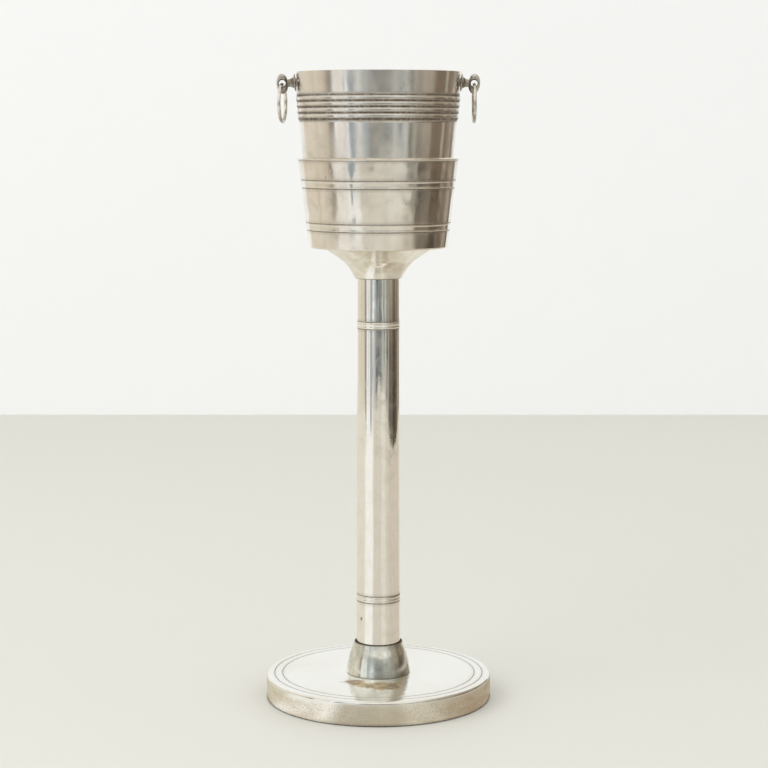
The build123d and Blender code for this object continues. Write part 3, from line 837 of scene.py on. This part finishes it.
def ring(name):
    """Plain wire ring, a little worn and uneven, in the plane of its swing axis and upright."""
    low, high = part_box(name + "_ring")
    centre = (low + high) / 2
    radius = (high.z - low.z) / 2 - RING_WIRE
    joint = next(j for j in frame["joints"] if j["name"] == name + "_ring_swing")
    level = Vector(joint["axis"]).normalized()
    up = Vector((0, 0, 1))
    side = level.cross(up)
    around, section = 144, 24
    vertices = []
    for column in range(around):
        angle = 2 * math.pi * column / around
        out = level * math.cos(angle) + up * math.sin(angle)
        wire = RING_WIRE * (1 - 0.035 * (1 + noise.noise(out * 2.2)))
        for row in range(section):
            turn = 2 * math.pi * row / section
            vertices.append(centre + out * (radius + wire * math.cos(turn)) + side * wire * math.sin(turn))
    faces = []
    for column in range(around):
        here, there = column * section, (column + 1) % around * section
        for row in range(section):
            after = (row + 1) % section
            faces.append((here + row, there + row, there + after, here + after))

    def dirt_and_shade(point):
        return max(0.45 * hump(point.z - low.z, 9 * MM), 0.5 * hump(point.z - high.z, 4 * MM))

    return make_object(name + "_ring_handle_piece", vertices, faces), dirt_and_shade


# ---- the object --------------------------------------------------------------------
def build_stand(looks):
    """Base, collar, column, funnel and cup, all on the stand's body."""
    cover, cover_dirt_and_shadow, patches = base_cover()
    finish_piece(cover, "stand", "worn_silver_plate", looks["base"], "base_shell",
                 dirt_and_shade=cover_dirt_and_shadow, stain=patches)
    foot, foot_dirt = collar()
    finish_piece(foot, "stand", "worn_silver_plate", looks["collar"], "collar_bell", dirt_and_shade=foot_dirt)
    tube, tube_dirt, pit = column()
    finish_piece(tube, "stand", "silver_plate", looks["column"], "column_tube", dirt_and_shade=tube_dirt, stain=pit)
    flare, flare_dirt = cup_support()
    finish_piece(flare, "stand", "worn_silver_plate", looks["flare"], "cup_funnel", dirt_and_shade=flare_dirt)
    cup, cup_dirt, marks = holder()
    finish_piece(cup, "stand", "silver_plate", looks["holder"], "holder_cup", dirt_and_shade=cup_dirt, stain=marks)


def build_bucket(looks):
    """Bucket with its rosettes and posts, and the two rings, each on its own body."""
    shell, dirt_and_shade, scratches = bucket()
    finish_piece(shell, "bucket", "silver_plate", looks["bucket"], "bucket_shell",
                 dirt_and_shade=dirt_and_shade, stain=scratches)
    for name, side in (("left", -1), ("right", 1)):
        dirt_and_shade = lug_tarnish_and_shade(side, name)
        plate = rosette(side, name)
        finish_piece(plate, "bucket", "cast_silver_plate", looks["cast"], name + "_rosette", dirt_and_shade=dirt_and_shade)
        post = eye_post(side, name)
        finish_piece(post, "bucket", "cast_silver_plate", looks["cast"], name + "_eye_post", dirt_and_shade=dirt_and_shade)
        wire, wear = ring(name)
        finish_piece(wire, name + "_ring_handle", "cast_silver_plate", looks["cast"], name + "_ring",
                     dirt_and_shade=wear)


def dress_cad_nodes():
    """Better materials for the hidden CAD pieces, by the material slot that the record gives each."""
    finishes = {
        "zinc_steel": zinc_look(),
        "turned_brass": brass_look(),
        "plated_fastener": fastener_look(),
        "cast_iron": cast_iron_look(),
        "felt": felt_look()}
    for part in frame["record"]["subparts"]:
        if part["material_slot"] in finishes:
            mesh = frame["nodes"][part["node"]].data
            mesh.materials.clear()
            mesh.materials.append(finishes[part["material_slot"]].material)


def silver_looks():
    return {
        "bucket": bucket_look(), "holder": holder_look(), "column": column_look(), "flare": flare_look(),
        "collar": collar_look(), "base": base_look(), "cast": cast_look()}


# ---- room --------------------------------------------------------------------------
WALL_DISTANCE = 2.45              # of the plain wall behind the object
ROOM_TOP = 3.2
FADE = (0.45, 1.6)                # between these heights the room fades to its pale upper part


def linear(*shades):
    """Linear light from display shades of 0 to 255."""
    return tuple(
        part / 12.92 if part <= 0.04045 else ((part + 0.055) / 1.055) ** 2.4
        for part in (shade / 255 for shade in shades))


# colours that the silver mirrors
CREAM = linear(224, 216, 200)
PEBBLE = linear(204, 194, 176)
UMBER = linear(104, 92, 76)
WHITE = linear(252, 253, 252)
ROSE = linear(230, 226, 219)
PEARL = linear(206, 208, 206)
ASH = linear(171, 174, 172)
STEEL = linear(152, 163, 171)
CHARCOAL = linear(126, 125, 121)
SLATE = linear(124, 127, 125)
OLIVE = linear(150, 147, 136)
TAN = linear(166, 156, 141)
BROWN = linear(124, 110, 94)
UPPER_LEFT = linear(240, 237, 229)
UPPER_RIGHT = linear(180, 170, 154)
STRAW = linear(227, 224, 211)
CHALK = linear(247, 247, 243)
LINEN = linear(215, 211, 199)
MILK = linear(226, 223, 212)
CLAY = linear(208, 200, 186)

# What the silver mirrors, from behind on the left, past the camera at 0, to behind on the right:
# (azimuth in degrees, distance of its foot in metres, colour)
ROOM = (
    (-180, 3.2, TAN), (-174, 3.2, TAN), (-166, 3.2, WHITE), (-150, 3.2, WHITE), (-146, 3.2, CREAM),
    (-108, 3.0, CREAM), (-101, 2.9, PEBBLE), (-96, 2.9, CREAM), (-90, 2.8, CREAM),
    (-80, 2.8, PEBBLE), (-73, 2.6, TAN), (-70, 2.4, UMBER), (-68, 2.4, UMBER), (-66, 3.0, WHITE),
    (-58, 3.0, ROSE), (-51, 3.0, ROSE), (-50, 3.0, STEEL), (-48, 3.0, WHITE), (-45, 3.0, WHITE),
    (-42, 2.3, STEEL), (-36, 2.3, STEEL), (-33, 3.0, PEARL), (-24, 3.0, PEARL), (-16, 2.9, STEEL),
    (-8, 2.9, CHARCOAL), (2, 3.4, SLATE), (14, 3.2, SLATE), (26, 3.2, ASH), (36, 3.0, ASH),
    (48, 2.7, OLIVE), (60, 2.25, OLIVE), (67, 2.15, TAN), (78, 2.05, TAN), (88, 2.03, BROWN),
    (104, 2.1, BROWN), (107, 2.1, TAN), (111, 2.1, TAN), (115, 2.2, BROWN), (132, 2.4, TAN),
    (142, 2.6, UMBER), (150, 3.0, CREAM), (158, 3.0, PEBBLE), (164, 3.0, SLATE), (172, 3.2, SLATE),
    (180, 3.2, TAN))
DARK_CORNER = (57, 63, 112, 120)  # azimuths of a darker low part on the right
DARK_CORNER_TOP = (0.18, 0.38)
BRIGHT_SHELF = 0.23               # height of a lighter band across the dim middle
SHELF_WIDTH = 0.045
CENTRE = (-40, -20, 45, 65)       # azimuths where the dim, cluttered middle starts and ends
RIGHT = (30, 80, 130, 160)        # azimuths where the pale upper part is darker
CLUTTER = (                       # strength, and how finely it changes with azimuth and height
    (1.0, 0.11, 7, 2), (0.6, 0.2, 24, 4), (0.9, 0.08, 55, 8))

# Tones of the floor in the same directions.
FLOOR = (
    (-180, STRAW), (-82, STRAW), (-66, CHALK), (-34, CHALK), (-22, LINEN), (8, LINEN), (22, MILK),
    (32, MILK), (42, LINEN), (64, CLAY), (130, CLAY), (150, STRAW), (180, STRAW))
NEAR_FLOOR = (0.20, 0.32)         # the floor beside the base is shaded more strongly
FLOOR_START = 0.14
FLOOR_END = 3.6
SEAM = 175                        # past this azimuth nothing wanders, so that the two ends meet
WALL_ROWS = 160
FLOOR_ROWS = 60


def read_off(table, azimuth):
    """What a table of directions gives at this azimuth, smoothly between its rows."""
    for (start, *here), (end, *there) in zip(table, table[1:]):
        if start <= azimuth <= end:
            share = smooth(azimuth, start, end)
            return [Vector(a) * (1 - share) + Vector(b) * share if isinstance(a, tuple)
                    else a * (1 - share) + b * share for a, b in zip(here, there)]
    raise ValueError(azimuth)


def glow_material(name):
    """Light with the colour stored in the mesh."""
    material = bpy.data.materials.new(name)
    material.use_nodes = True
    tree = material.node_tree
    tree.nodes.remove(tree.nodes["Principled BSDF"])
    glow = tree.nodes.new("ShaderNodeEmission")
    stored = tree.nodes.new("ShaderNodeVertexColor")
    stored.layer_name = "glow"
    tree.links.new(stored.outputs["Color"], glow.inputs["Color"])
    tree.links.new(glow.outputs["Emission"], tree.nodes["Material Output"].inputs["Surface"])
    material.cycles.emission_sampling = "NONE"
    return material


def only_in_reflections(piece):
    """Keeps a sheet out of sight, so that it shows in the silver alone."""
    piece.visible_camera = False
    piece.visible_diffuse = False
    piece.visible_transmission = False
    piece.visible_shadow = False


def between(value, rise_start, rise_end, fall_start, fall_end):
    """1 inside the range, 0 outside, with a smooth rise and fall."""
    return smooth(value, rise_start, rise_end) * (1 - smooth(value, fall_start, fall_end))


def room_glow(azimuth, height, colour):
    """The room's colour with its light upper part, its dark corner and its clutter."""
    fade = smooth(height, *FADE)
    centre = between(azimuth, *CENTRE)
    right = between(azimuth, *RIGHT)
    clutter = sum(
        strength * noise.noise(Vector((azimuth * around, height * along, seed)))
        for strength, around, along, seed in CLUTTER)
    stripes = noise.noise(Vector((azimuth * 0.6, height * 1.2, 6)))
    corner = between(azimuth, *DARK_CORNER)
    corner *= 1 - smooth(height, *DARK_CORNER_TOP)
    shelf = centre * hump(height - BRIGHT_SHELF, SHELF_WIDTH)
    shade = 1 + (0.08 + 0.62 * centre) * clutter + 0.12 * stripes
    shade *= (1 - 0.62 * corner) * (1 + 0.50 * shelf)
    upper = Vector(UPPER_LEFT) * (1 - right) + Vector(UPPER_RIGHT) * right
    return (colour + (upper - colour) * fade) * max(0.1, shade)


def room_place(azimuth, share):
    """Distance, height and light of a point of the walls, this share of the way up."""
    height = ROOM_TOP * share ** 1.8
    wander = 1.6 * noise.noise(Vector((azimuth * 0.05, height * 3, 7)))
    distance, colour = read_off(ROOM, azimuth + wander * (abs(azimuth) < SEAM))
    return distance, height, room_glow(azimuth, height, colour)


def floor_place(azimuth, share):
    """Distance, height and light of a point of the floor, this share of the way out."""
    distance = FLOOR_START + (FLOOR_END - FLOOR_START) * share ** 2
    wander = 3 * noise.noise(Vector((azimuth * 0.05, distance * 2, 3)))
    (colour,) = read_off(FLOOR, azimuth + wander * (abs(azimuth) < SEAM))
    mottle = 1 + 0.10 * noise.noise(Vector((azimuth * 0.12, distance * 14, 5)))
    contrast = 1.7 - 0.7 * smooth(distance, *NEAR_FLOOR)
    return distance, -1 * MM, Vector([part ** contrast for part in colour]) * mottle


def reflected_sheet(name, rows, place):
    """A round sheet with stored colours from place(azimuth, share), seen only in the silver."""
    columns = 720
    vertices, glows = [], []
    for column in range(columns):
        azimuth = -180 + 360 * column / columns
        angle = math.radians(azimuth)
        for row in range(rows + 1):
            distance, height, glow = place(azimuth, row / rows)
            vertices.append((distance * math.sin(angle), -distance * math.cos(angle), height))
            glows += [*glow, 1.0]
    depth = rows + 1
    faces = []
    for column in range(columns):
        here, there = column * depth, (column + 1) % columns * depth
        for row in range(rows):
            faces.append((here + row, there + row, there + row + 1, here + row + 1))
    sheet = make_object(name, vertices, faces)
    sheet.data.color_attributes.new("glow", "FLOAT_COLOR", "POINT").data.foreach_set("color", glows)
    sheet.data.materials.append(glow_material(name + "_glow"))
    only_in_reflections(sheet)


def reflected_room():
    """The dim room, the floor and the pale ceiling that the silver mirrors."""
    reflected_sheet("reflected_walls", WALL_ROWS, room_place)
    reflected_sheet("reflected_floor", FLOOR_ROWS, floor_place)
    reflected_sheet("reflected_ceiling", 1, lambda azimuth, share: (4.0 * share, ROOM_TOP, UPPER_LEFT))


def plain_material(name, colour, roughness, specular):
    """Plain matt paint for the floor and the wall."""
    material = bpy.data.materials.new(name)
    material.use_nodes = True
    shader = material.node_tree.nodes["Principled BSDF"]
    shader.inputs["Base Color"].default_value = (*colour, 1)
    shader.inputs["Roughness"].default_value = roughness
    shader.inputs["Specular IOR Level"].default_value = specular
    return material


def one_sided(material):
    """Leaves the back of a sheet clear, so that the wall never hides the object."""
    tree = material.node_tree
    output = tree.nodes["Material Output"]
    back = tree.nodes.new("ShaderNodeNewGeometry").outputs["Backfacing"]
    clear = tree.nodes.new("ShaderNodeBsdfTransparent").outputs["BSDF"]
    choice = tree.nodes.new("ShaderNodeMixShader")
    tree.links.new(back, choice.inputs[0])
    tree.links.new(tree.nodes["Principled BSDF"].outputs["BSDF"], choice.inputs[1])
    tree.links.new(clear, choice.inputs[2])
    tree.links.new(choice.outputs["Shader"], output.inputs["Surface"])


STUDIO_REACH = 12.0
STUDIO_WALL_HEIGHT = 6.0


def studio_corner():
    """Plain pale floor and a white wall behind."""
    reach = STUDIO_REACH
    floor = make_object(
        "floor", [(-reach, -reach, 0), (reach, -reach, 0), (reach, reach, 0), (-reach, reach, 0)],
        [(0, 1, 2, 3)])
    floor.data.materials.append(plain_material("floor_pale", (0.72, 0.705, 0.64), 0.6, 0.3))
    floor.visible_glossy = False
    back, top = WALL_DISTANCE, STUDIO_WALL_HEIGHT
    wall = make_object(
        "back_wall", [(-reach, back, 0), (reach, back, 0), (reach, back, top), (-reach, back, top)],
        [(0, 1, 2, 3)])
    wall.data.materials.append(plain_material("wall_white", (0.93, 0.93, 0.925), 0.9, 0.1))
    one_sided(wall.data.materials[0])


DAYLIGHT = (0.97, 0.985, 1.0)
DAYLIGHT_STRENGTH = 1.10
WINDOW_SIZE = (2.4, 1.8)
WINDOW_PLACE = (-2.2, -1.6, 2.4)
WINDOW_AIM = (0, 0, 0.3)
WINDOW_WATTS = 26
WINDOW_COLOUR = (1.0, 0.985, 0.96)


def soft_light():
    """Even daylight from all round, with a large soft window on the left."""
    world = bpy.data.worlds.new("daylight")
    bpy.context.scene.world = world
    world.use_nodes = True
    sky = world.node_tree.nodes["Background"]
    sky.inputs["Color"].default_value = (*DAYLIGHT, 1)
    sky.inputs["Strength"].default_value = DAYLIGHT_STRENGTH
    world.cycles_visibility.glossy = False
    window = bpy.data.lights.new("window", "AREA")
    window.shape = "RECTANGLE"
    window.size, window.size_y = WINDOW_SIZE
    window.energy = WINDOW_WATTS
    window.color = WINDOW_COLOUR
    lamp = bpy.data.objects.new("window", window)
    lamp.location = WINDOW_PLACE
    lamp.rotation_euler = (Vector(WINDOW_AIM) - lamp.location).to_track_quat("-Z", "Y").to_euler()
    lamp.visible_glossy = False
    lamp.visible_camera = False
    bpy.context.scene.collection.objects.link(lamp)


CAMERA_PLACE = (0.0068, -2.380, 0.682)
CAMERA_TILT = math.radians(82.84)                 # from straight down
LENS = 93.75                                      # mm, on a sensor 36 mm wide


def add_camera():
    """A long lens a little above the holder cup, tipped down by seven degrees."""
    data = bpy.data.cameras.new("camera")
    data.sensor_width = 36
    data.lens = LENS
    camera = bpy.data.objects.new("camera", data)
    camera.location = CAMERA_PLACE
    camera.rotation_euler = (CAMERA_TILT, 0, 0)
    bpy.context.scene.collection.objects.link(camera)
    bpy.context.scene.camera = camera


add_camera()
looks = silver_looks()
build_stand(looks)
build_bucket(looks)
dress_cad_nodes()
studio_corner()
reflected_room()
soft_light()
bpy.context.scene.view_settings.view_transform = "Standard"
